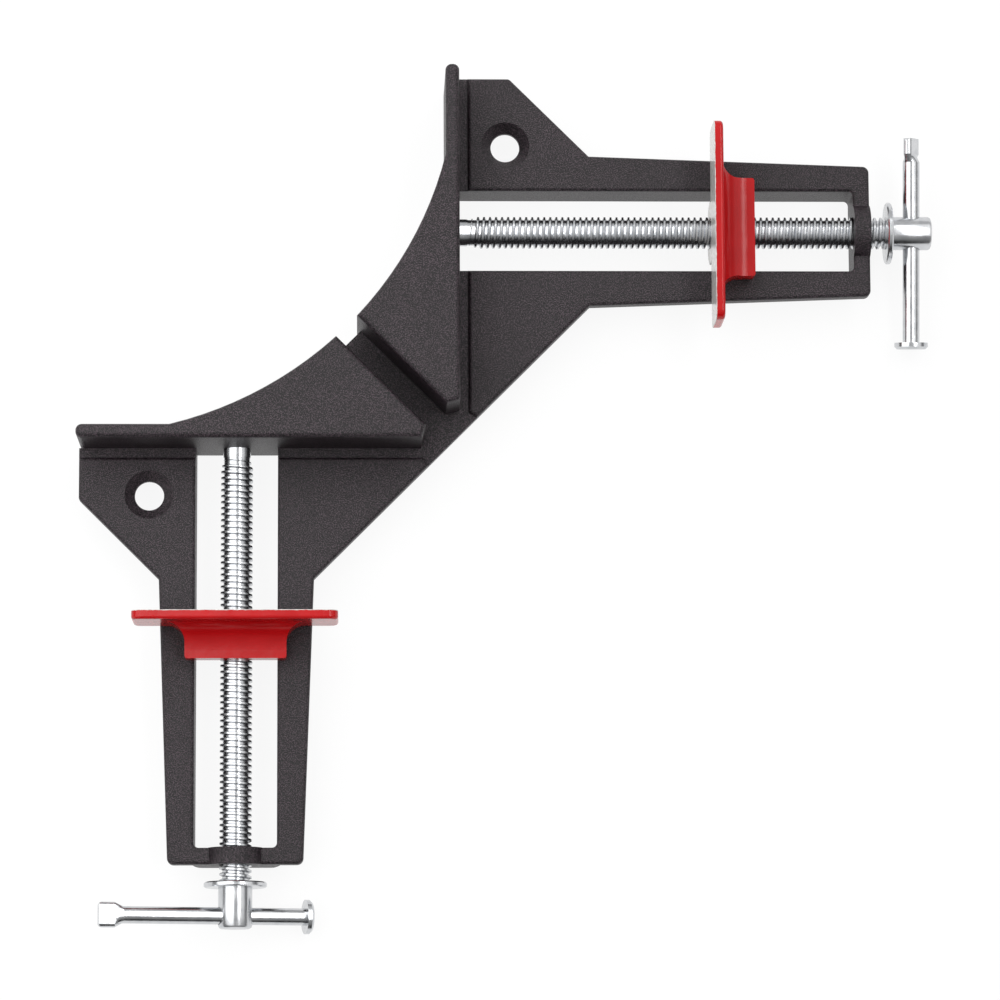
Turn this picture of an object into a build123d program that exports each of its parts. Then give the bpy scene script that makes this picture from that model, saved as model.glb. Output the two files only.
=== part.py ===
from build123d import *
import os
from math import sqrt

# A corner clamp: one L-shaped light-alloy casting with two fences at a right angle, and on each arm
# a screw spindle that draws a jaw towards its fence.
#
# Frame: +Z up from the bench. The right arm points along +X and the left arm along -Y. The clamp is
# symmetrical about the mitre line y = -x. The origin lies on that line at bench level, behind both fences.
#
# Along an arm, "out" is the distance from the fence face and "along" is the distance from the other
# fence's plane. Everything is drawn for the right arm, and the left arm is its mirror image.

# Fences and their pads
fence_setback = 8.0          # each fence face lies this far in front of the origin
fence_height = 27.5
fence_reach = 93.5           # from the corner where both fence planes cross to the fence's tip
fence_wall = 3.4
pad_roof = 3.0
pad_wall = 2.6
throat_radius = 92.0         # the concave inner edge that both pads share
throat_depth = 39.17         # from the corner to that edge, along the mitre line
channel_width = 7.2          # the open mitre channel between the pads
channel_floor_inset = 1.2
nose_along_face = 9.4        # where each pad's blunt nose starts on the fence face
nose_along_channel = 8.4     # and where it meets the channel
pad_edge_radius = 1.3
tip_corner_radius = 1.5

# Arms
ledge_height = 11.0
ledge_width = 2.4
step_turn_along = 8.9        # the step down to the ledge leaves the fence's foot here
step_exit_along = 7.7        # and runs out at the outer diagonal edge here
rail_height = 12.0
plate_thickness = 3.5
web_margin = 2.3             # from the corner to the outer diagonal edge
slot_width = 20.2
slot_length = 98.4
slot_corner_radius = 1.2
slot_wall = 2.5
slot_wall_corner_radius = 4.0
end_wall = 4.1
arm_root_width = 38.0
arm_end_width = 33.0
arm_corner_radius = 1.6
rail_edge_radius = 0.9
hump_radius = 7.0

# Bench screw lugs
lug_width = 12.75
lug_corner_radius = 1.2
bench_hole_out = 11.7
bench_hole_from_tip = 17.25
bench_hole_radius = 3.6
countersink_radius = 6.0
countersink_angle = 90

# Ribs under the casting
rib_thickness = 2.0
rib_lift = 2.5               # the ribs stop this far above the bench
hole_to_rib = 2.0            # the lug's ribs stop this far from the countersink
mitre_rib_thickness = 3.0
mitre_rib_inset = 4.0        # it starts this far behind the corner, under the web
web_rib_along = 26.0

# Spindles
spindle_along = 54.75        # spindle axis from the other fence's plane
spindle_height = 9.0         # spindle axis above the bench
spindle_diameter = 8.0       # major diameter of the left-hand trapezoidal thread
journal_diameter = 6.75
journal_shoulder = 2.0       # the journal shows for this far in front of the fence
thread_full_out = 5.0        # the thread's crests reach their full height here
spindle_chamfer = 0.5
head_diameter = 8.3
head_length = 10.0
head_chamfer = 0.7
collar_gap = 4.15            # from the end wall to the collar
running_clearance = 0.05
guide_clearance = 0.08

# What holds the spindle in the fence
thrust_washer_diameter = 12.0
thrust_washer_thickness = 0.8
clip_diameter = 11.0
clip_thickness = 0.7
clip_groove_diameter = 5.0
clip_mouth = 4.4
clip_web = 1.6
clip_play = 0.05
journal_end_land = 1.0
clip_window_radius = 8.0

# Collars on the spindles' outer ends
collar_diameter = 15.4
collar_thickness = 1.3
collar_chamfer = 0.3

# Jaws
jaw_width = 50.0
jaw_height = 26.8
jaw_plate = 2.25
jaw_top_corner = 2.5
jaw_foot_corner = 2.0
jaw_rail_gap = 0.15
jaw_edge_radius = 0.8
jaw_lobe_radius = 7.9
nut_width = 24.8
nut_length = 8.35
nut_top = 16.5
nut_spread = 3.9             # the nut spreads to each side by this much where it meets the plate
nut_spread_length = 4.1
nut_spread_radius = 4.3
nut_rise = 4.8               # and rises by this much
nut_rise_length = 6.4
nut_rise_radius = 7.0
nut_edge_radius = 0.7
nut_barrel_radius = 7.2
nut_barrel_setback = 2.0
right_opening = 62.8
left_opening = 42.1

# Tommy bars
bar_diameter = 4.2
bar_length = 52.6
bar_head_diameter = 8.4
bar_head_thickness = 1.6
bar_head_chamfer = 0.6
bar_spade_length = 3.9
bar_spade_taper = 2.0
bar_spade_width = 6.2
bar_spade_thickness = 2.2
bar_spade_corner = 0.8
right_bar_from_collar = 6.5
left_bar_from_collar = 8.2
right_bar_roll = 9.0         # degrees that the bar's spade end stands up at rest
left_bar_roll = 14.0
right_bar_shift = -2.6       # the bar's middle from the spindle axis, towards its spade end
left_bar_shift = 7.35
right_bar_twist = 60.0       # the bar has turned about its own axis
left_bar_twist = 0.0

# Places that follow from the sizes above
spindle_y = spindle_along - fence_setback
arm_length = slot_length + end_wall
fence_x = fence_setback
collar_out = arm_length + collar_gap
head_out = collar_out + collar_thickness
head_end_out = head_out + head_length
plate_underside = rail_height - plate_thickness
diagonal_offset = web_margin * sqrt(2)
channel_offset = channel_width / sqrt(2)
throat_centre = (throat_depth + throat_radius) / sqrt(2)
hollow_height = fence_height - pad_roof
clip_groove_out = fence_wall + thrust_washer_thickness + clip_play
journal_end_out = clip_groove_out + clip_thickness + clip_play + journal_end_land
nut_end = jaw_plate + nut_length

mitre = Plane(origin=(0, 0, 0), z_dir=(1, 1, 0))
spindle_axis = Axis((0, spindle_y, spindle_height), (1, 0, 0))


def at(out, along):
    """The plan point this far out from the right fence face and along it."""
    return (fence_x + out, along - fence_setback)


def across(out):
    """The plane square to the right spindle at this distance from the fence, with +Y to its right."""
    return Plane(origin=(fence_x + out, spindle_y, spindle_height), x_dir=(0, 1, 0), z_dir=(1, 0, 0))


def lengthwise():
    """The upright plane along the right spindle, with distance out from the fence to its right."""
    return Plane(origin=(fence_x, spindle_y, spindle_height), x_dir=(1, 0, 0), z_dir=(0, -1, 0))


# Right fence with its pad: a shell, open below, whose inner edge is the throat arc
with BuildPart() as pad:
    with BuildSketch():
        with BuildLine():
            Polyline(
                at(0, fence_reach),
                at(0, nose_along_face),
                at(channel_offset - nose_along_channel, nose_along_channel),
                at(channel_offset - fence_reach, fence_reach),
                close=True,
            )
        make_face()
        with Locations(at(-throat_centre, throat_centre)):
            Circle(throat_radius, mode=Mode.SUBTRACT)
        with BuildLine():
            Polyline(
                at(0, fence_reach),
                at(-fence_wall, fence_reach),
                at(-fence_wall, spindle_along),
                at(0, spindle_along),
                close=True,
            )
        make_face()
    extrude(amount=fence_height)
    tip_corners = pad.edges().filter_by(Axis.Z).group_by(Axis.Y)[-1]
    fillet(tip_corners, radius=tip_corner_radius)
    fillet(pad.faces().sort_by(Axis.Z)[-1].edges(), radius=pad_edge_radius)

# The hollow that leaves the pad an even wall all round
with BuildPart() as pad_hollow:
    with BuildSketch():
        with BuildLine():
            inner_channel = channel_offset + pad_wall * sqrt(2)
            Polyline(
                at(-fence_wall, fence_reach),
                at(-fence_wall, inner_channel + fence_wall),
                at(inner_channel - fence_reach, fence_reach),
                close=True,
            )
        make_face()
        with Locations(at(-throat_centre, throat_centre)):
            Circle(throat_radius + pad_wall, mode=Mode.SUBTRACT)
    extrude(amount=hollow_height)

# Right arm: a plate with a long slot, and a full-height wall round the slot
with BuildPart() as arm:
    with BuildSketch(Plane.XY.offset(plate_underside)) as rail_plan:
        with BuildLine():
            foot_low = spindle_along - arm_root_width / 2
            foot_high = spindle_along + arm_root_width / 2
            end_low = spindle_along - arm_end_width / 2
            end_high = spindle_along + arm_end_width / 2
            Polyline(
                at(ledge_width, fence_reach),
                at(ledge_width, step_turn_along),
                at(step_exit_along - diagonal_offset, step_exit_along),
                at(foot_low - diagonal_offset, foot_low),
                at(arm_length, end_low),
                at(arm_length, end_high),
                at(lug_width + fence_reach - foot_high, foot_high),
                at(lug_width, fence_reach),
                close=True,
            )
        make_face()
        fillet(rail_plan.vertices().group_by(Axis.X)[-1], radius=arm_corner_radius)
        lug_corner = rail_plan.vertices().group_by(Axis.Y)[-1].sort_by(Axis.X)[-1]
        fillet(lug_corner, radius=lug_corner_radius)
    extrude(amount=plate_thickness)
    with BuildSketch() as wall_plan:
        with Locations(at(arm_length / 2, spindle_along)):
            Rectangle(arm_length, slot_width + 2 * slot_wall)
        fillet(wall_plan.vertices().group_by(Axis.X)[-1], radius=slot_wall_corner_radius)
    extrude(amount=ledge_height)
    with BuildSketch() as slot_plan:
        with Locations(at(slot_length / 2, spindle_along)):
            Rectangle(slot_length, slot_width)
        fillet(slot_plan.vertices().group_by(Axis.X)[-1], radius=slot_corner_radius)
    extrude(amount=rail_height, mode=Mode.SUBTRACT)
    fillet(arm.edges().group_by(Axis.Z)[-1], radius=rail_edge_radius)

# The narrow ledge along the fence's foot, with the web that joins both arms at the corner
with BuildPart() as ledge:
    with BuildSketch(Plane.XY.offset(plate_underside)):
        with BuildLine():
            web_along = step_exit_along + ledge_width
            floor_depth = (throat_depth - channel_floor_inset) / sqrt(2)
            floor_side = (channel_width / 2 + pad_wall / 2) / sqrt(2)
            Polyline(
                at(0, fence_reach),
                at(ledge_width, fence_reach),
                at(web_along - diagonal_offset, web_along),
                at(-diagonal_offset / 2, diagonal_offset / 2),
                at(-floor_depth, floor_depth),
                at(floor_side - floor_depth, floor_side + floor_depth),
                at(-pad_wall / 2, nose_along_face + pad_wall / 2),
                at(0, nose_along_face + pad_wall / 2),
                close=True,
            )
        make_face()
    extrude(amount=ledge_height - plate_underside)
    with BuildSketch():
        with Locations(at(slot_length / 2, spindle_along)):
            Rectangle(slot_length, slot_width)
    extrude(amount=rail_height, mode=Mode.SUBTRACT)

hole_along = fence_reach - bench_hole_from_tip

with BuildPart() as body_casting:
    add(pad.part)
    add(pad_hollow.part, mode=Mode.SUBTRACT)
    add(arm.part)
    add(ledge.part)

    # Ribs under the lug and under the corner web
    with BuildSketch(Plane.XY.offset(rib_lift)):
        rib_gap = countersink_radius + hole_to_rib
        with Locations(at((bench_hole_out - rib_gap) / 2, hole_along)):
            Rectangle(bench_hole_out - rib_gap, rib_thickness)
        web_rib_reach = web_rib_along - diagonal_offset - rib_thickness
        with Locations(at(web_rib_reach / 2, web_rib_along)):
            Rectangle(web_rib_reach, rib_thickness)
    extrude(amount=plate_underside - rib_lift)

    # Countersunk hole for a bench screw
    with Locations((*at(bench_hole_out, hole_along), rail_height)):
        CounterSinkHole(
            radius=bench_hole_radius,
            counter_sink_radius=countersink_radius,
            depth=plate_thickness,
            counter_sink_angle=countersink_angle,
        )

    # Hump that carries the spindle's outer end, and the bores for the journal and the thread
    with BuildSketch(across(slot_length)):
        Circle(hump_radius)
    extrude(amount=end_wall)
    with BuildSketch(across(-fence_wall)):
        Circle(journal_diameter / 2 + running_clearance)
    extrude(amount=fence_wall, mode=Mode.SUBTRACT)
    with BuildSketch(across(slot_length)):
        Circle(spindle_diameter / 2 + guide_clearance)
    extrude(amount=end_wall, mode=Mode.SUBTRACT)

    # Arched window in the throat wall, through which the retaining clip is fitted
    with BuildSketch(across(-fence_wall)):
        Circle(clip_window_radius)
        with Locations((0, -spindle_height / 2)):
            Rectangle(2 * clip_window_radius, spindle_height)
    extrude(amount=-throat_depth / 2, mode=Mode.SUBTRACT)

    mirror(about=mitre)

    # Rib along the mitre line: it stands on the bench and carries the channel floor
    with BuildSketch(Plane.XY):
        with BuildLine():
            half_rib = mitre_rib_thickness / 2 / sqrt(2)
            rib_start = mitre_rib_inset / sqrt(2)
            rib_end = floor_depth
            Polyline(
                at(-rib_start + half_rib, rib_start + half_rib),
                at(-rib_end + half_rib, rib_end + half_rib),
                at(-rib_end - half_rib, rib_end - half_rib),
                at(-rib_start - half_rib, rib_start - half_rib),
                close=True,
            )
        make_face()
    extrude(amount=ledge_height)

# Spindle, before its head is drilled: journal with a clip groove, threaded length at its major diameter,
# which starts with the thread's long run-out, and a plain head
with BuildPart() as spindle:
    journal_radius = journal_diameter / 2
    groove_radius = clip_groove_diameter / 2
    thread_radius = spindle_diameter / 2
    head_radius = head_diameter / 2
    groove_start = -clip_groove_out - clip_thickness - clip_play
    groove_end = -clip_groove_out + clip_play
    with BuildSketch(lengthwise()):
        with BuildLine():
            Polyline(
                (-journal_end_out, 0),
                (-journal_end_out, journal_radius - spindle_chamfer),
                (-journal_end_out + spindle_chamfer, journal_radius),
                (groove_start, journal_radius),
                (groove_start, groove_radius),
                (groove_end, groove_radius),
                (groove_end, journal_radius),
                (journal_shoulder, journal_radius),
                (thread_full_out, thread_radius),
                (head_out, thread_radius),
                (head_out, head_radius),
                (head_end_out - head_chamfer, head_radius),
                (head_end_out, head_radius - head_chamfer),
                (head_end_out, 0),
                close=True,
            )
        make_face()
    revolve(axis=spindle_axis)

# Collar pressed on against the head's shoulder
with BuildPart() as collar:
    with BuildSketch(across(collar_out)):
        Circle(collar_diameter / 2)
    extrude(amount=collar_thickness)
    chamfer(collar.edges(), length=collar_chamfer)
    with BuildSketch(across(collar_out)):
        Circle(thread_radius)
    extrude(amount=collar_thickness, mode=Mode.SUBTRACT)

# Thrust washer between the fence wall and the clip
with BuildPart() as thrust_washer:
    with BuildSketch(across(-fence_wall)):
        Circle(thrust_washer_diameter / 2)
        Circle(journal_diameter / 2 + running_clearance, mode=Mode.SUBTRACT)
    extrude(amount=-thrust_washer_thickness)

# Retaining clip: an open ring, pushed into the groove from below
with BuildPart() as clip:
    with BuildSketch(across(-clip_groove_out)):
        Circle(clip_diameter / 2)
        Circle(clip_diameter / 2 - clip_web, mode=Mode.SUBTRACT)
        for tab_angle in (0, 90, 180):
            with Locations(Rotation(0, 0, tab_angle) * Location(((clip_diameter + clip_groove_diameter) / 4, 0))):
                Rectangle((clip_diameter - clip_groove_diameter) / 2 - clip_web / 2, clip_web)
        Circle(groove_radius + clip_play, mode=Mode.SUBTRACT)
        with Locations((0, -clip_diameter / 2)):
            Rectangle(clip_mouth, clip_diameter, mode=Mode.SUBTRACT)
    extrude(amount=-clip_thickness)

# Jaw, drawn closed against the fence: press plate, lobe in the slot, and the nut behind it
with BuildPart() as jaw:
    jaw_foot = rail_height + jaw_rail_gap - spindle_height
    jaw_crown = jaw_height - spindle_height
    with BuildSketch(across(0)) as plate_outline:
        with Locations((0, (jaw_foot + jaw_crown) / 2)):
            Rectangle(jaw_width, jaw_crown - jaw_foot)
        fillet(plate_outline.vertices().group_by(Axis.Y)[-1], radius=jaw_top_corner)
        fillet(plate_outline.vertices().group_by(Axis.Y)[0], radius=jaw_foot_corner)
        Circle(jaw_lobe_radius)
    extrude(amount=jaw_plate)
    fillet(jaw.faces().sort_by(Axis.X)[-1].outer_wire().edges(), radius=jaw_edge_radius)

with BuildPart() as nut:
    nut_crown = nut_top - spindle_height
    nut_half = nut_width / 2
    spread_out = jaw_plate + nut_spread_length
    rise_out = jaw_plate + nut_rise_length
    with BuildSketch(Plane.XY.offset(spindle_height + jaw_foot)):
        for hand in (1, -1):
            with BuildLine():
                RadiusArc(
                    at(jaw_plate, spindle_along + hand * (nut_half + nut_spread)),
                    at(spread_out, spindle_along + hand * nut_half),
                    hand * -nut_spread_radius,
                )
                Polyline(
                    at(spread_out, spindle_along + hand * nut_half),
                    at(nut_end, spindle_along + hand * nut_half),
                    at(nut_end, spindle_along),
                    at(0, spindle_along),
                    at(0, spindle_along + hand * (nut_half + nut_spread)),
                    at(jaw_plate, spindle_along + hand * (nut_half + nut_spread)),
                )
            make_face()
    extrude(amount=nut_crown + nut_rise - jaw_foot)
    fillet(nut.edges().filter_by(Axis.Z).group_by(Axis.X)[-1], radius=nut_edge_radius)
    with BuildSketch(lengthwise()):
        with BuildLine():
            clear_out = nut_end + nut_edge_radius
            clear_crown = nut_crown + nut_rise + nut_edge_radius
            RadiusArc((jaw_plate, nut_crown + nut_rise), (rise_out, nut_crown), -nut_rise_radius)
            Polyline(
                (rise_out, nut_crown),
                (clear_out, nut_crown),
                (clear_out, clear_crown),
                (jaw_plate, clear_crown),
                (jaw_plate, nut_crown + nut_rise),
            )
        make_face()
    extrude(amount=nut_width, both=True, mode=Mode.SUBTRACT)
    with BuildSketch(across(0)):
        Circle(nut_barrel_radius)
    extrude(amount=nut_end - nut_barrel_setback)

with BuildPart() as finished_jaw:
    add(jaw.part)
    add(nut.part)
    with BuildSketch(across(0)):
        Circle(thread_radius + running_clearance)
    extrude(amount=nut_end, mode=Mode.SUBTRACT)

# Tommy bar, drawn along +Y with its middle at the origin: a nail head, a round bar and a flattened spade
with BuildPart() as spade:
    spade_foot = bar_length / 2 - bar_spade_length
    with BuildSketch(Plane.XZ.offset(bar_spade_taper - spade_foot)):
        Circle(bar_diameter / 2)
    with BuildSketch(Plane.XZ.offset(-spade_foot)):
        SlotOverall(bar_spade_width, bar_spade_thickness)
    loft()
    with BuildSketch(Plane.XZ.offset(-spade_foot)):
        SlotOverall(bar_spade_width, bar_spade_thickness)
    extrude(amount=-bar_spade_length)
    with BuildSketch() as spade_plan:
        with Locations((0, bar_length / 4)):
            Rectangle(bar_spade_width, bar_length / 2)
        fillet(spade_plan.vertices().group_by(Axis.Y)[-1], radius=bar_spade_corner)
    extrude(amount=bar_diameter, both=True, mode=Mode.INTERSECT)

with BuildPart() as bar:
    with BuildSketch(Plane.XZ.offset(bar_length / 2)):
        Circle(bar_head_diameter / 2)
    extrude(amount=-bar_head_thickness)
    chamfer(bar.edges().group_by(Axis.Y)[0], length=bar_head_chamfer)
    with BuildSketch(Plane.XZ.offset(bar_length / 2 - bar_head_thickness)):
        Circle(bar_diameter / 2)
    extrude(amount=-(bar_length - bar_head_thickness - bar_spade_length - bar_spade_taper))
    add(spade.part)


def drilled_spindle(bar_from_collar, roll):
    """The spindle with the cross hole for its bar drilled through the head."""
    hole_plane = across(collar_out + bar_from_collar).rotated((roll, 0, 0))
    with BuildPart() as drilled:
        add(spindle.part)
        with BuildSketch(Plane(origin=hole_plane.origin, x_dir=(1, 0, 0), z_dir=hole_plane.x_dir)):
            Circle(bar_diameter / 2 + guide_clearance)
        extrude(amount=head_diameter, both=True, mode=Mode.SUBTRACT)
    return drilled.part


def fitted_bar(bar_from_collar, roll, shift, twist):
    """The bar twisted about itself, slid through the head's hole, and rolled about the spindle axis."""
    twisted = bar.part.rotate(Axis.Y, twist)
    placed = twisted.moved(Location(across(collar_out + bar_from_collar).origin + Vector(0, shift, 0)))
    return placed.rotate(spindle_axis, roll)


def on_arm(piece, side):
    """The right arm's piece, or its mirror image for the left arm."""
    return piece if side == "right" else piece.mirror(mitre)


os.makedirs("parts", exist_ok=True)
body_casting.part.label = "body_casting"
export_step(body_casting.part, "parts/body_casting.step")

openings = {"right": right_opening, "left": left_opening}
bar_places = {
    "right": (right_bar_from_collar, right_bar_roll, right_bar_shift, right_bar_twist),
    "left": (left_bar_from_collar, left_bar_roll, left_bar_shift, left_bar_twist),
}
for side in ("right", "left"):
    bar_from_collar, roll, shift, twist = bar_places[side]
    pieces = {
        "spindle": drilled_spindle(bar_from_collar, roll),
        "collar": collar.part,
        "thrust_washer": thrust_washer.part,
        "retaining_clip": clip.part,
        "jaw": finished_jaw.part.moved(Location((openings[side], 0, 0))),
        "tommy_bar": fitted_bar(bar_from_collar, roll, shift, twist),
    }
    for name, piece in pieces.items():
        placed = on_arm(piece, side)
        placed.label = f"{side}_{name}"
        export_step(placed, f"parts/{side}_{name}.step")
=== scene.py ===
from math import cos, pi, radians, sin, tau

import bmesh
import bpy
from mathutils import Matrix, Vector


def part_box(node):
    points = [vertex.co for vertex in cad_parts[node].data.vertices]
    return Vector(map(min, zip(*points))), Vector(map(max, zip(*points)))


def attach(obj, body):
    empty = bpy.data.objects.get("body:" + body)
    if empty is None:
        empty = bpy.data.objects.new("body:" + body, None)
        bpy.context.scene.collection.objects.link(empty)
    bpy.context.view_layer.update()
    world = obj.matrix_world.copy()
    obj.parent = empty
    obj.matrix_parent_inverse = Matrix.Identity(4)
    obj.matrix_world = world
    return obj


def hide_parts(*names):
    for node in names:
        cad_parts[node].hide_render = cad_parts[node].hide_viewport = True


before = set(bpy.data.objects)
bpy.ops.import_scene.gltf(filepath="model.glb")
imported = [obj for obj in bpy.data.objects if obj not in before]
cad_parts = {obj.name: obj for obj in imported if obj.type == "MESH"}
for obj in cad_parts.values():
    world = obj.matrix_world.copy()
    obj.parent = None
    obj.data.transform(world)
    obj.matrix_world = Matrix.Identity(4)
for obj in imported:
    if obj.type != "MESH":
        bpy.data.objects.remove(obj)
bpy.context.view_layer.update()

# %% [markdown]
# # A cast corner clamp
# The clamp holds two strips of wood at a right angle while glue sets. It is one L-shaped light-alloy
# casting with a dark powder coat, two red painted jaws, and two bright zinc-plated screw spindles with
# sliding tommy bars. The CAD model arrives as fixed nodes. This file gives them their finishes, cuts
# real screw threads, and sets up the light and the camera.

MM = 0.001

# %% [markdown]
# ## Colours and nodes
# A paint chart writes a colour as an sRGB hex value, but a shader works in linear light, so one helper
# turns the first into the second. The other helper adds any node: its settings, the stops of a colour
# ramp, and its inputs. An input takes a value, a socket, or a whole node, whose first output is linked.
# The same trees could be drawn by hand, but written out they can be read and changed in one place.

# %% Colours and nodes


def linear(hex_colour):
    """An sRGB hex colour as the linear RGBA that shaders want."""
    channels = [int(hex_colour[i:i + 2], 16) / 255 for i in (1, 3, 5)]
    return [c / 12.92 if c <= 0.04045 else ((c + 0.055) / 1.055) ** 2.4 for c in channels] + [1.0]


def add_node(tree, kind, settings=None, stops=(), **inputs):
    """Adds a node. Its inputs go by name, with _ for a space, or by number, as i0."""
    new = tree.nodes.new(kind)
    for name, value in (settings or {}).items():
        setattr(new, name, value)
    if stops:
        band = new.color_ramp.elements
        band[0].position, band[0].color = stops[0][0], linear(stops[0][1])
        band[1].position, band[1].color = stops[-1][0], linear(stops[-1][1])
        for position, colour in stops[1:-1]:
            band.new(position).color = linear(colour)
    for name, value in inputs.items():
        key = int(name[1:]) if name[0] == "i" and name[1:].isdigit() else name.replace("_", " ")
        if isinstance(value, bpy.types.Node):
            value = value.outputs[0]
        if isinstance(value, bpy.types.NodeSocket):
            tree.links.new(value, new.inputs[key])
        else:
            new.inputs[key].default_value = value
    return new


print("the mid grey #808080 is", round(linear("#808080")[0], 3), "in linear light")

# %% [markdown]
# ## The camera
# The photograph looks almost straight down, from a little towards the viewer. A least-squares fit of
# some forty points on both arms gave the camera's distance and tilt, with a long lens of about 160 mm
# on a 36 mm sensor. A camera could be aimed by eye, but then the fences' tops would not line up with
# their feet. The fit is measured from the corner where both fence planes cross.

# %% Camera
fence_face = 8.0                                          # mm from the model's axes to each fence's plane
fence_corner = Vector((fence_face, -fence_face, 0.0))
view_turn = Vector((-0.155633, 0.0310195, 0.00250956))    # axis times angle, world to camera
camera_place = Vector((10.402, -11.058, 1106.3))          # mm, in the camera's own axes
to_camera = Matrix.Rotation(view_turn.length, 3, view_turn)
camera_data = bpy.data.cameras.new("view from above")
camera_data.sensor_width = 36.0
camera_data.lens = 159.86
camera = bpy.data.objects.new("view from above", camera_data)
bpy.context.collection.objects.link(camera)
camera.matrix_world = (
    Matrix.Translation((to_camera.transposed() @ camera_place + fence_corner) * MM)
    @ to_camera.transposed().to_4x4()
)
bpy.context.scene.camera = camera
print("camera at", [round(v, 3) for v in camera.location], "m")

# %% [markdown]
# ## Powder coat
# The casting is die-cast aluminium with a charcoal powder coat. The powder melts into a hard polyester
# skin with a fine, even grain. The eye sees a dark satin surface with tiny light and dark specks, and
# every rounded edge catches a soft line of light. An image could carry the grain, but noise on Object
# coordinates has no seams and stays on the piece when it moves. Two sizes of noise are used: one for the
# specks, which real powder has finer and which are drawn at a quarter of a millimetre so that they show,
# and a broad one for the slow change of tone over a casting.

# %% Powder-coated casting


def principled(name, base, roughness, metallic=0.0):
    """A new material, with its tree, its Principled shader and its Object coordinates."""
    material = bpy.data.materials.new(name)
    material.use_nodes = True
    tree = material.node_tree
    tree.nodes.clear()
    shader = add_node(tree, "ShaderNodeBsdfPrincipled")
    shader.inputs["Base Color"].default_value = linear(base)
    shader.inputs["Roughness"].default_value = roughness
    shader.inputs["Metallic"].default_value = metallic
    add_node(tree, "ShaderNodeOutputMaterial", Surface=shader)
    place = add_node(tree, "ShaderNodeTexCoord").outputs["Object"]
    return material, tree, shader, place


def scale_for(size_mm):
    """The noise scale whose spots are about this many millimetres across."""
    return 1 / (size_mm * MM)


speck_size, speck_relief, tone_size = 0.26, 0.2, 30.0     # mm
powder_coat, tree, shader, place = principled("powder-coated aluminium", "#161114", 0.4)
specks = add_node(tree, "ShaderNodeTexNoise", Vector=place, Scale=scale_for(speck_size), Detail=1.5)
tone = add_node(tree, "ShaderNodeTexNoise", Vector=place, Scale=scale_for(tone_size), Detail=2.0)
speck_stops = [(0.38, "#020102"), (0.50, "#161114"), (0.62, "#463A41")]
speck_colour = add_node(tree, "ShaderNodeValToRGB", stops=speck_stops, Fac=specks)
tone_stops = [(0.35, "#E4E4E4"), (0.65, "#FFFFFF")]
tone_colour = add_node(tree, "ShaderNodeValToRGB", stops=tone_stops, Fac=tone)
mixed = add_node(
    tree, "ShaderNodeMix", {"data_type": "RGBA", "blend_type": "MULTIPLY"},
    Factor=1.0, i6=speck_colour, i7=tone_colour,
)
tree.links.new(mixed.outputs[2], shader.inputs["Base Color"])
bump = add_node(tree, "ShaderNodeBump", Strength=1.0, Distance=speck_relief * MM, Height=specks)
tree.links.new(bump.outputs["Normal"], shader.inputs["Normal"])
shader.inputs["Specular IOR Level"].default_value = 0.33  # a grainy film shines less than a smooth one
print(powder_coat.name, "has", len(tree.nodes), "nodes")

# %% [markdown]
# ## Red enamel and the bare press face
# Each jaw is a small casting in gloss red enamel. The face that presses on the wood is left bare, and
# looks pale grey. Two materials on two sets of faces could do it, but the CAD mesh stays whole, so one
# material does both: it reads the place on the jaw at rest, and the red begins a tenth or two of a
# millimetre behind the press face, along a slightly ragged edge. The enamel has a faint orange peel,
# with waves about 3 mm apart, which bends the reflections of the lamps a little.

# %% Red enamel
edge_size, edge_depth = 1.2, 0.3        # mm: the spots of the ragged edge, and how far it can reach
mark_size, shade_size = 0.8, 9.0        # mm: press marks on the bare metal, and clouds in the red
peel_size, peel_relief = 3.0, 0.12      # mm: the orange peel's waves, and their height


def red_enamel(name, axis_index, face_at, sign):
    """Red enamel that leaves the press face bare; the face lies at this place along the jaw's axis."""
    material, tree, shader, place = principled(name, "#AA0E12", 0.2)
    along = add_node(tree, "ShaderNodeSeparateXYZ", Vector=place).outputs[axis_index]
    depth = add_node(tree, "ShaderNodeMath", {"operation": "SUBTRACT"}, i0=along, i1=face_at)
    behind = add_node(tree, "ShaderNodeMath", {"operation": "MULTIPLY"}, i0=depth, i1=sign / MM)
    ragged = add_node(tree, "ShaderNodeTexNoise", Vector=place, Scale=scale_for(edge_size), Detail=2.0)
    edge = add_node(tree, "ShaderNodeMath", {"operation": "MULTIPLY"}, i0=ragged, i1=edge_depth)
    past = add_node(tree, "ShaderNodeMath", {"operation": "GREATER_THAN"}, i0=behind, i1=edge)
    marks = add_node(tree, "ShaderNodeTexNoise", Vector=place, Scale=scale_for(mark_size), Detail=4.0)
    bare = add_node(tree, "ShaderNodeValToRGB", stops=[(0.3, "#A9A6A3"), (0.7, "#D4D1CD")], Fac=marks)
    clouds = add_node(tree, "ShaderNodeTexNoise", Vector=place, Scale=scale_for(shade_size), Detail=2.0)
    coat = add_node(tree, "ShaderNodeValToRGB", stops=[(0.3, "#A40A0E"), (0.7, "#B01014")], Fac=clouds)
    colour = add_node(tree, "ShaderNodeMix", {"data_type": "RGBA"}, Factor=past, i6=bare, i7=coat)
    tree.links.new(colour.outputs[2], shader.inputs["Base Color"])
    waves = add_node(tree, "ShaderNodeTexNoise", Vector=place, Scale=scale_for(peel_size), Detail=2.0)
    peel = add_node(tree, "ShaderNodeBump", Strength=0.5, Distance=peel_relief * MM, Height=waves)
    tree.links.new(peel.outputs["Normal"], shader.inputs["Normal"])
    shader.inputs["Specular IOR Level"].default_value = 0.32
    return material


right_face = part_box("right_jaw")[0][0]
left_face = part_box("left_jaw")[1][1]
right_enamel = red_enamel("red enamel on the right jaw", 0, right_face, 1.0)
left_enamel = red_enamel("red enamel on the left jaw", 1, left_face, -1.0)
print("press faces at", round(right_face / MM, 2), "and", round(left_face / MM, 2), "mm")

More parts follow.
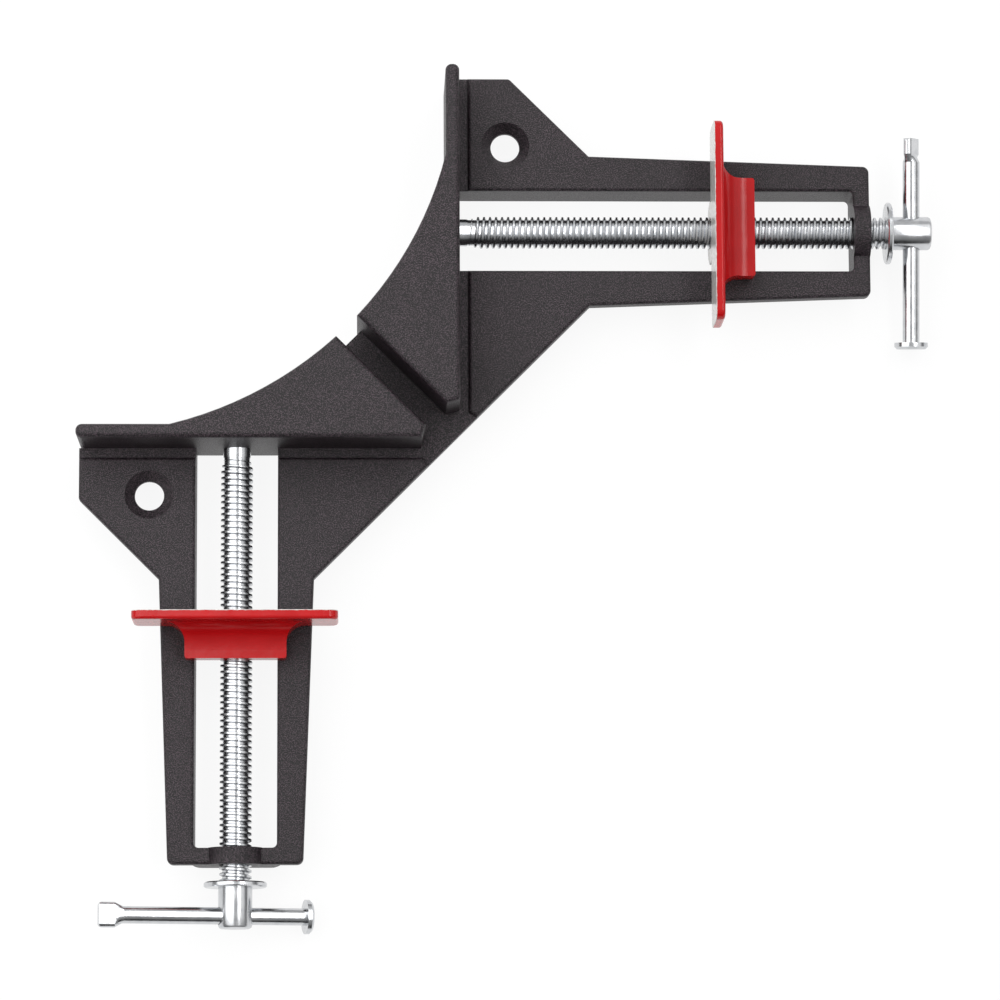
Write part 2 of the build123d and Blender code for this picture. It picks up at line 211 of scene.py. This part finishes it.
# %% [markdown]
# ## Zinc plate
# The spindles, collars and bars are turned steel with a bright zinc plate. Zinc is a pale, slightly
# blue metal. One roughness for all would look like chrome, so clouds of 2.5 mm change it a little and
# break up the reflections. The eye then sees satin metal with soft-edged lights.

# %% Zinc plate
cloud_size = 2.5                        # mm
zinc, tree, shader, place = principled("bright zinc plate", "#CBCCCE", 0.20, metallic=1.0)
cloud = add_node(tree, "ShaderNodeTexNoise", Vector=place, Scale=scale_for(cloud_size), Detail=4.0)
plate = add_node(tree, "ShaderNodeValToRGB", stops=[(0.3, "#C2C4C7"), (0.7, "#D4D5D7")], Fac=cloud)
tree.links.new(plate.outputs["Color"], shader.inputs["Base Color"])
dull = add_node(tree, "ShaderNodeMapRange", Value=cloud, From_Min=0.3, From_Max=0.7, To_Min=0.18, To_Max=0.26)
tree.links.new(dull.outputs["Result"], shader.inputs["Roughness"])
print(zinc.name, "has", len(tree.nodes), "nodes")

# %% [markdown]
# ## Spring steel
# The thrust washers and the clips sit inside the pads, where only a look from behind finds them. They
# are hardened spring steel, dark from its heat treatment, with a trace of oil that dulls it in patches
# of about 1.5 mm. A plain grey would do, but the patches tell the eye that these are not plated.

# %% Spring steel
film_size = 1.5                         # mm
spring_steel, tree, shader, place = principled("oiled spring steel", "#5A5A5E", 0.35, metallic=1.0)
film = add_node(tree, "ShaderNodeTexNoise", Vector=place, Scale=scale_for(film_size), Detail=3.0)
oiled = add_node(tree, "ShaderNodeValToRGB", stops=[(0.35, "#48484C"), (0.65, "#6E6E72")], Fac=film)
tree.links.new(oiled.outputs["Color"], shader.inputs["Base Color"])
print(spring_steel.name, "has", len(tree.nodes), "nodes")

# %% [markdown]
# ## Finishes on the CAD nodes
# A CAD node whose shape is right keeps its mesh. Only its material slots are filled.

# %% Fill the slots
finishes = {"body_casting": powder_coat, "right_jaw": right_enamel, "left_jaw": left_enamel}
for side in ("right", "left"):
    for part in ("spindle", "collar", "tommy_bar"):
        finishes[f"{side}_{part}"] = zinc
    for part in ("thrust_washer", "retaining_clip"):
        finishes[f"{side}_{part}"] = spring_steel
for name, material in finishes.items():
    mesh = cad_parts[name].data
    mesh.materials.clear()
    mesh.materials.append(material)
print(len(finishes), "nodes finished")

# %% [markdown]
# ## The thread
# Both spindles have a left-hand trapezoidal thread, 8 mm across with a pitch of 1.5 mm, because turning
# the bar clockwise has to pull the jaw in. A thread could be drawn as a texture, but its crests make the
# spindle's outline and catch the light, so it is real geometry here. It is a small trapezoid swept along
# a helix, which is a job for Geometry Nodes. The tree takes its sizes as named inputs, so that another
# spindle could use it too.

# %% The thread's sizes and inputs
pitch = 1.5
root_radius, crest_radius = 3.2, 3.97
thread_start, thread_full, thread_end = 2.0, 5.0, 107.4   # mm along the spindle from the fence's face
thread_sizes = {
    "Root Radius": root_radius * MM, "Sunk": 0.1 * MM, "Tooth Height": (crest_radius - root_radius) * MM,
    "Pitch": pitch * MM, "Length": (thread_end - thread_start) * MM,
    "Run-in Turns": (thread_full - thread_start) / pitch, "Run-out Turns": 0.2,
}
thread_tree = bpy.data.node_groups.new("left-hand thread", "GeometryNodeTree")
thread_tree.is_modifier = True
for name, value in thread_sizes.items():
    socket = thread_tree.interface.new_socket(name, in_out="INPUT", socket_type="NodeSocketFloat")
    socket.default_value = value
thread_tree.interface.new_socket("Material", in_out="INPUT", socket_type="NodeSocketMaterial")
thread_tree.interface.new_socket("Mesh", in_out="OUTPUT", socket_type="NodeSocketGeometry")
given = add_node(thread_tree, "NodeGroupInput").outputs
print("thread inputs:", ", ".join(thread_sizes))

# %% [markdown]
# ### The helix
# A Spiral curve with the same radius at both ends is a helix, and one that winds upwards this way is
# left-hand. Set Curve Normal keeps the tooth from rolling over as it climbs. Its root is sunk a tenth of
# a millimetre into the steel, so that no gap shows between the two.

# %% The helix
turns = add_node(thread_tree, "ShaderNodeMath", {"operation": "DIVIDE"}, i0=given["Length"], i1=given["Pitch"])
path_radius = add_node(
    thread_tree, "ShaderNodeMath", {"operation": "SUBTRACT"}, i0=given["Root Radius"], i1=given["Sunk"]
)
helix = add_node(
    thread_tree, "GeometryNodeCurveSpiral", Resolution=40, Rotations=turns, Reverse=False,
    Start_Radius=path_radius, End_Radius=path_radius, Height=given["Length"],
)
upright = add_node(thread_tree, "GeometryNodeSetCurveNormal", {"mode": "Z_UP"}, Curve=helix)
print("the helix makes", round(thread_sizes["Length"] / thread_sizes["Pitch"], 1), "turns")

# %% [markdown]
# ### Run-in and run-out
# A real thread doesn't start at its full depth: the die leaves the blank over the first turns. So the
# tooth's scale grows from nothing over two turns at the fence's end, and shrinks again over a fifth of a
# turn inside the collar, where nobody sees it.

# %% Run-in and run-out
factor = add_node(thread_tree, "GeometryNodeSplineParameter")
turns_done = add_node(thread_tree, "ShaderNodeMath", {"operation": "MULTIPLY"}, i0=factor, i1=turns)
turns_left = add_node(thread_tree, "ShaderNodeMath", {"operation": "SUBTRACT"}, i0=turns, i1=turns_done)
growth = add_node(
    thread_tree, "ShaderNodeMath", {"operation": "DIVIDE"}, i0=turns_done, i1=given["Run-in Turns"]
)
decline = add_node(
    thread_tree, "ShaderNodeMath", {"operation": "DIVIDE"}, i0=turns_left, i1=given["Run-out Turns"]
)
lesser = add_node(thread_tree, "ShaderNodeMath", {"operation": "MINIMUM"}, i0=growth, i1=decline)
tooth_scale = add_node(thread_tree, "ShaderNodeMath", {"operation": "MINIMUM"}, i0=lesser, i1=1.0)
print("run-in", thread_sizes["Run-in Turns"], "turns, run-out", thread_sizes["Run-out Turns"], "turns")

# %% [markdown]
# ### The tooth
# The tooth's section is a trapezoid, 0.8 of the pitch wide at its sunk root and 0.3 at its crest. It is
# moved so that its root lies on the path, and turned a quarter so that its crest points outwards.

# %% The tooth
root_share, crest_share = 0.8, 0.3
tooth_depth = add_node(
    thread_tree, "ShaderNodeMath", {"operation": "ADD"}, i0=given["Tooth Height"], i1=given["Sunk"]
)
root_width = add_node(
    thread_tree, "ShaderNodeMath", {"operation": "MULTIPLY"}, i0=given["Pitch"], i1=root_share
)
crest_width = add_node(
    thread_tree, "ShaderNodeMath", {"operation": "MULTIPLY"}, i0=given["Pitch"], i1=crest_share
)
tooth = add_node(
    thread_tree, "GeometryNodeCurvePrimitiveQuadrilateral", {"mode": "TRAPEZOID"},
    Height=tooth_depth, Bottom_Width=root_width, Top_Width=crest_width, Offset=0.0,
)
half_down = add_node(thread_tree, "ShaderNodeMath", {"operation": "MULTIPLY"}, i0=tooth_depth, i1=-0.5)
shift = add_node(thread_tree, "ShaderNodeCombineXYZ", X=half_down, Y=0.0, Z=0.0)
lifted = add_node(
    thread_tree, "GeometryNodeTransform", Geometry=tooth, Translation=shift, Rotation=(0.0, 0.0, pi / 2)
)
print("the tooth is", round(root_share * pitch, 2), "mm wide at its root and",
      round(crest_share * pitch, 2), "mm at its crest")

# %% [markdown]
# ### The ridge
# Curve to Mesh sweeps the tooth along the helix and caps both ends. Realize Instances and Set Material
# end the tree, because the export drops what is only an instance. The tree runs on an empty object whose
# modifier gets its inputs by their identifiers, and new_from_object keeps the result as a plain mesh.
# One ridge serves both spindles. The printed hand is measured on the mesh: seen from above, a left-hand
# thread goes round clockwise as it climbs towards the eye.

# %% The ridge
ridge = add_node(
    thread_tree, "GeometryNodeCurveToMesh", Curve=upright, Profile_Curve=lifted,
    Scale=tooth_scale, Fill_Caps=True,
)
whole = add_node(thread_tree, "GeometryNodeRealizeInstances", Geometry=ridge)
finished = add_node(thread_tree, "GeometryNodeSetMaterial", Geometry=whole, Material=given["Material"])
add_node(thread_tree, "NodeGroupOutput", Mesh=finished)


def run_tree(tree, values):
    """Runs a tree on an empty object and returns its result as a plain mesh."""
    holder = bpy.data.objects.new("tree holder", bpy.data.meshes.new("empty"))
    bpy.context.collection.objects.link(holder)
    modifier = holder.modifiers.new("tree", "NODES")
    modifier.node_group = tree
    for item in tree.interface.items_tree:
        if item.in_out == "INPUT" and item.name in values:
            modifier[item.identifier] = values[item.name]
    bpy.context.view_layer.update()
    shape = bpy.data.meshes.new_from_object(holder.evaluated_get(bpy.context.evaluated_depsgraph_get()))
    bpy.data.objects.remove(holder)
    return shape


ridge_mesh = run_tree(thread_tree, {**thread_sizes, "Material": zinc})
radii = [Vector(v.co[:2]).length / MM for v in ridge_mesh.vertices]
tolerance, two_steps = 0.01, 4          # mm, and two crest corners for each of two steps along the helix
crest = [v.co for v, radius in zip(ridge_mesh.vertices, radii) if radius > crest_radius - tolerance]
turning = sum((a.x * b.y - a.y * b.x) * (b.z - a.z) for a, b in zip(crest, crest[two_steps:]))
print("thread radius", round(min(radii), 3), "to", round(max(radii), 3), "mm,", len(radii), "points,",
      "right-hand" if turning > 0 else "left-hand")
ridge_mesh.transform(Matrix.Translation((0, 0, thread_start * MM)))

# %% [markdown]
# ## The spindle's blank
# Each spindle is one turned piece: a journal with a groove for its clip, the long thread, and a plain
# head. A stack of cylinders could stand for it, but would leave faces inside. The blank is turned from
# its profile, as on a lathe, so it is one closed skin, and the thread's ridge is laid on it later.

# %% The spindle's blank
# Places along the spindle are in millimetres from the fence's face, out along the arm.
journal_radius, journal_end, journal_chamfer = 3.375, -6.0, 0.5
groove_radius, groove_start, groove_end = 2.5, -5.0, -4.2
runout = 0.4                            # from the journal's shoulder down to the thread's root
seat_radius, seat_length = 3.9, 0.6     # the plain end of the threaded stretch, inside the collar
head_radius, head_start, head_end = 4.15, 107.95, 117.95
head_bevel, head_shoulder, head_rounding = 0.7, 0.25, 0.22
blank_profile = [
    (journal_end, 0.0), (journal_end, journal_radius - journal_chamfer),
    (journal_end + journal_chamfer, journal_radius),
    (groove_start, journal_radius), (groove_start, groove_radius),
    (groove_end, groove_radius), (groove_end, journal_radius),
    (thread_start, journal_radius), (thread_start + runout, root_radius),
    (head_start - seat_length, root_radius), (head_start - seat_length, seat_radius),
    (head_start, seat_radius), (head_start, head_radius), (head_end - head_bevel, head_radius),
    (head_end - head_shoulder, head_radius - head_rounding), (head_end, head_radius - head_bevel),
    (head_end, 0.0),
]


def turned(profile, steps=96):
    """A solid turned about the Z axis from its (place along the axis, radius) points in millimetres."""
    solid = bmesh.new()
    rings = []
    for along, radius in profile:
        count = steps if radius else 1
        around = [(radius * cos(tau * i / steps), radius * sin(tau * i / steps)) for i in range(count)]
        rings.append([solid.verts.new((x * MM, y * MM, along * MM)) for x, y in around])
    for near, far in zip(rings, rings[1:]):
        for i in range(steps):
            pair = [near[i], near[(i + 1) % steps]] if len(near) > 1 else near
            pair = pair + ([far[(i + 1) % steps], far[i]] if len(far) > 1 else far)
            solid.faces.new(pair)
    bmesh.ops.recalc_face_normals(solid, faces=solid.faces)
    shape = bpy.data.meshes.new("turned")
    solid.to_mesh(shape)
    solid.free()
    return shape


blank = turned(blank_profile)
print("the blank has", len(blank.polygons), "faces and is", head_end - journal_end, "mm long")

# %% [markdown]
# ## The cross hole
# The tommy bar slides in a hole across the head. A round hole in a round head has an edge like a saddle,
# which is hard to model face by face, so the hole is bored with a boolean, as a drill would.

# %% The cross hole
hole_radius = 2.18
drill_reach = 12.0


def bored(mesh, through, direction, radius):
    """The mesh with a round hole bored through a point; places are in millimetres."""
    sides = [(-drill_reach, 0.0), (-drill_reach, radius), (drill_reach, radius), (drill_reach, 0.0)]
    drill = turned(sides, steps=64)
    drill.transform(Matrix.Translation(through * MM) @ direction.to_track_quat("Z", "Y").to_matrix().to_4x4())
    work, tool = (bpy.data.objects.new(name, shape) for name, shape in (("work", mesh), ("tool", drill)))
    for item in (work, tool):
        bpy.context.collection.objects.link(item)
    boring = work.modifiers.new("bore", "BOOLEAN")
    boring.operation = "DIFFERENCE"
    boring.solver = "EXACT"
    boring.object = tool
    bpy.context.view_layer.update()
    result = bpy.data.meshes.new_from_object(work.evaluated_get(bpy.context.evaluated_depsgraph_get()))
    bpy.data.objects.remove(work)
    bpy.data.objects.remove(tool)
    return result


print("cross holes are", 2 * hole_radius, "mm wide")

# %% [markdown]
# ## Both spindles
# The blank and the ridge are built along Z and only turned into place. A mirrored copy would be quicker
# to write, but it would turn a left-hand thread into a right-hand one. The two bars stand at different
# places and angles, as they do in the photograph, so each head is bored in its own place.

# %% Both spindles
spindle_height, spindle_offset = 9.0, 46.75    # mm: above the floor, and from the model's X or Y axis
right_hole, left_hole = 113.15, 114.85
right_roll, left_roll = radians(9), radians(14)
sharp_angle = radians(28)
lies = {
    "right": (
        Vector((fence_face, spindle_offset, spindle_height)), Vector((1, 0, 0)),
        right_hole, Vector((0, cos(right_roll), sin(right_roll))),
    ),
    "left": (
        Vector((-spindle_offset, -fence_face, spindle_height)), Vector((0, -1, 0)),
        left_hole, Vector((-cos(left_roll), 0, sin(left_roll))),
    ),
}
for side, (start, direction, hole_along, hole_direction) in lies.items():
    into_place = Matrix.Translation(start * MM) @ direction.to_track_quat("Z", "Y").to_matrix().to_4x4()
    blank_here, ridge_here = blank.copy(), ridge_mesh.copy()
    for mesh in (blank_here, ridge_here):
        mesh.transform(into_place)
    together = bmesh.new()
    together.from_mesh(bored(blank_here, start + direction * hole_along, hole_direction, hole_radius))
    together.from_mesh(ridge_here)
    shape = bpy.data.meshes.new("joined")
    together.to_mesh(shape)
    together.free()
    shape.materials.clear()
    shape.materials.append(zinc)
    shape.shade_smooth()
    shape.set_sharp_from_angle(angle=sharp_angle)
    spindle = bpy.data.objects.new(f"{side}_threaded_spindle", shape)
    bpy.context.collection.objects.link(spindle)
    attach(spindle, f"{side}_spindle")
    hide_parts(f"{side}_spindle")
    print(spindle.name, "has", len(shape.polygons), "faces")

# %% [markdown]
# ## The floor
# The clamp lies on plain pale paper. A brighter lamp could burn the paper white, but would bleach the
# clamp too. So Light Path makes the floor glow for the camera and for reflections only, with a share of
# 0.9, and the rest of it is lit as paper is, which keeps a soft shadow under the clamp.

# %% Floor
half_floor, glow_share = 3.0, 0.9       # m, and the share of the glow in what is seen
floor_mesh = bpy.data.meshes.new("floor")
corners = [(x * half_floor, y * half_floor, 0.0) for x, y in ((-1, -1), (1, -1), (1, 1), (-1, 1))]
floor_mesh.from_pydata(corners, [], [(0, 1, 2, 3)])
floor = bpy.data.objects.new("floor", floor_mesh)
bpy.context.collection.objects.link(floor)
paper, tree, shader, place = principled("pale paper", "#F4F4F4", 0.9)
output = next(n for n in tree.nodes if n.type == "OUTPUT_MATERIAL")
rays = add_node(tree, "ShaderNodeLightPath").outputs
seen = rays["Is Camera Ray"]
for other in ("Is Glossy Ray", "Is Transmission Ray"):
    seen = add_node(tree, "ShaderNodeMath", {"operation": "MAXIMUM"}, i0=seen, i1=rays[other])
share = add_node(tree, "ShaderNodeMath", {"operation": "MULTIPLY"}, i0=seen, i1=glow_share)
glow = add_node(tree, "ShaderNodeEmission", Color=(1.0, 1.0, 1.0, 1.0), Strength=1.0)
blend = add_node(tree, "ShaderNodeMixShader", Fac=share, i1=shader, i2=glow)
tree.links.new(blend.outputs[0], output.inputs["Surface"])
floor_mesh.materials.append(paper)
print("the floor is", 2 * half_floor, "m wide")

# %% [markdown]
# ## The lamps
# A soft box hangs close on the left, and a larger one further off on the right, so the left arm is a
# little brighter, as in the photograph. The gap between them lies over the clamp and draws the line along
# the middle of every bar. A narrow, brighter strip light hangs in front of the right box and draws the
# streak on the right jaw's glossy enamel. Small lamps would give hard dots on the zinc: wide ones give
# the long lights that photographers use on metal. Each lamp is told how bright its face looks, and its
# power in watts follows from its size.

# %% Lamps


def soft_box(name, near_zenith, near_horizon, distance, back, front, turn, radiance):
    """An area lamp between two angles from the zenith and two places along Y, turned about the upright."""
    ends = [Vector((sin(radians(a)), 0, cos(radians(a)))) * distance for a in (near_zenith, near_horizon)]
    data = bpy.data.lights.new(name, "AREA")
    data.shape = "RECTANGLE"
    data.size = (ends[1] - ends[0]).length
    data.size_y = back - front
    data.energy = radiance * pi * data.size * data.size_y
    lamp = bpy.data.objects.new(name, data)
    bpy.context.collection.objects.link(lamp)
    middle = (ends[0] + ends[1]) / 2 + Vector((0, (back + front) / 2, 0))
    across = (ends[1] - ends[0]).normalized()
    facing = Vector((middle.x, 0, middle.z)).normalized()
    hung = Matrix.Translation(middle) @ Matrix((across, facing.cross(across), facing)).transposed().to_4x4()
    lamp.matrix_world = Matrix.Rotation(radians(turn), 4, "Z") @ hung
    print(name, "is", round(data.size, 2), "by", round(data.size_y, 2), "m,", round(data.energy, 1), "W")


# Angles are in degrees, the distance and the places along Y in metres.
soft_box(
    "left soft box", near_zenith=-8, near_horizon=-66, distance=0.48, back=0.6, front=-0.34,
    turn=-12, radiance=2.0,
)
soft_box(
    "right soft box", near_zenith=15, near_horizon=66, distance=2.5, back=2.4, front=-1.1,
    turn=6, radiance=0.55,
)
soft_box(
    "right strip light", near_zenith=20, near_horizon=32, distance=2.3, back=1.9, front=-0.9,
    turn=6, radiance=4.2,
)

# %% [markdown]
# ## The room
# Metal and gloss show the room as well as the lamps. An even grey room would be simpler, but the walls
# that look towards the viewer are nearly black in the photograph. So the room is pale above and to the
# sides, and dark low down on the viewer's side. One ramp runs from left to right, one from the viewer's
# side to the far side, and the two are multiplied.

# %% Room
world = bpy.data.worlds.new("studio")
world.use_nodes = True
tree = world.node_tree
room_direction = add_node(tree, "ShaderNodeTexCoord").outputs["Generated"]
direction = add_node(tree, "ShaderNodeSeparateXYZ", Vector=room_direction)
room_stops = {
    "X": [(0.0, "#B8B8B8"), (0.44, "#FFFFFF"), (0.56, "#FFFFFF"), (0.95, "#D0D0D0"), (1.0, "#909090")],
    "Y": [
        (0.0, "#181818"), (0.04, "#282828"), (0.12, "#989898"), (0.4, "#C4C4C4"),
        (0.55, "#D8D8D8"), (1.0, "#D8D8D8"),
    ],
}
room = []
for axis, stops in room_stops.items():
    from_zero = add_node(tree, "ShaderNodeMapRange", Value=direction.outputs[axis], From_Min=-1.0)
    room.append(add_node(tree, "ShaderNodeValToRGB", stops=stops, Fac=from_zero))
walls = add_node(
    tree, "ShaderNodeMix", {"data_type": "RGBA", "blend_type": "MULTIPLY"},
    Factor=1.0, i6=room[0], i7=room[1],
)
tree.links.new(walls.outputs[2], tree.nodes["Background"].inputs["Color"])
bpy.context.scene.world = world
bpy.context.scene.view_settings.view_transform = "Standard"
print("the room has", len(room), "ramps")
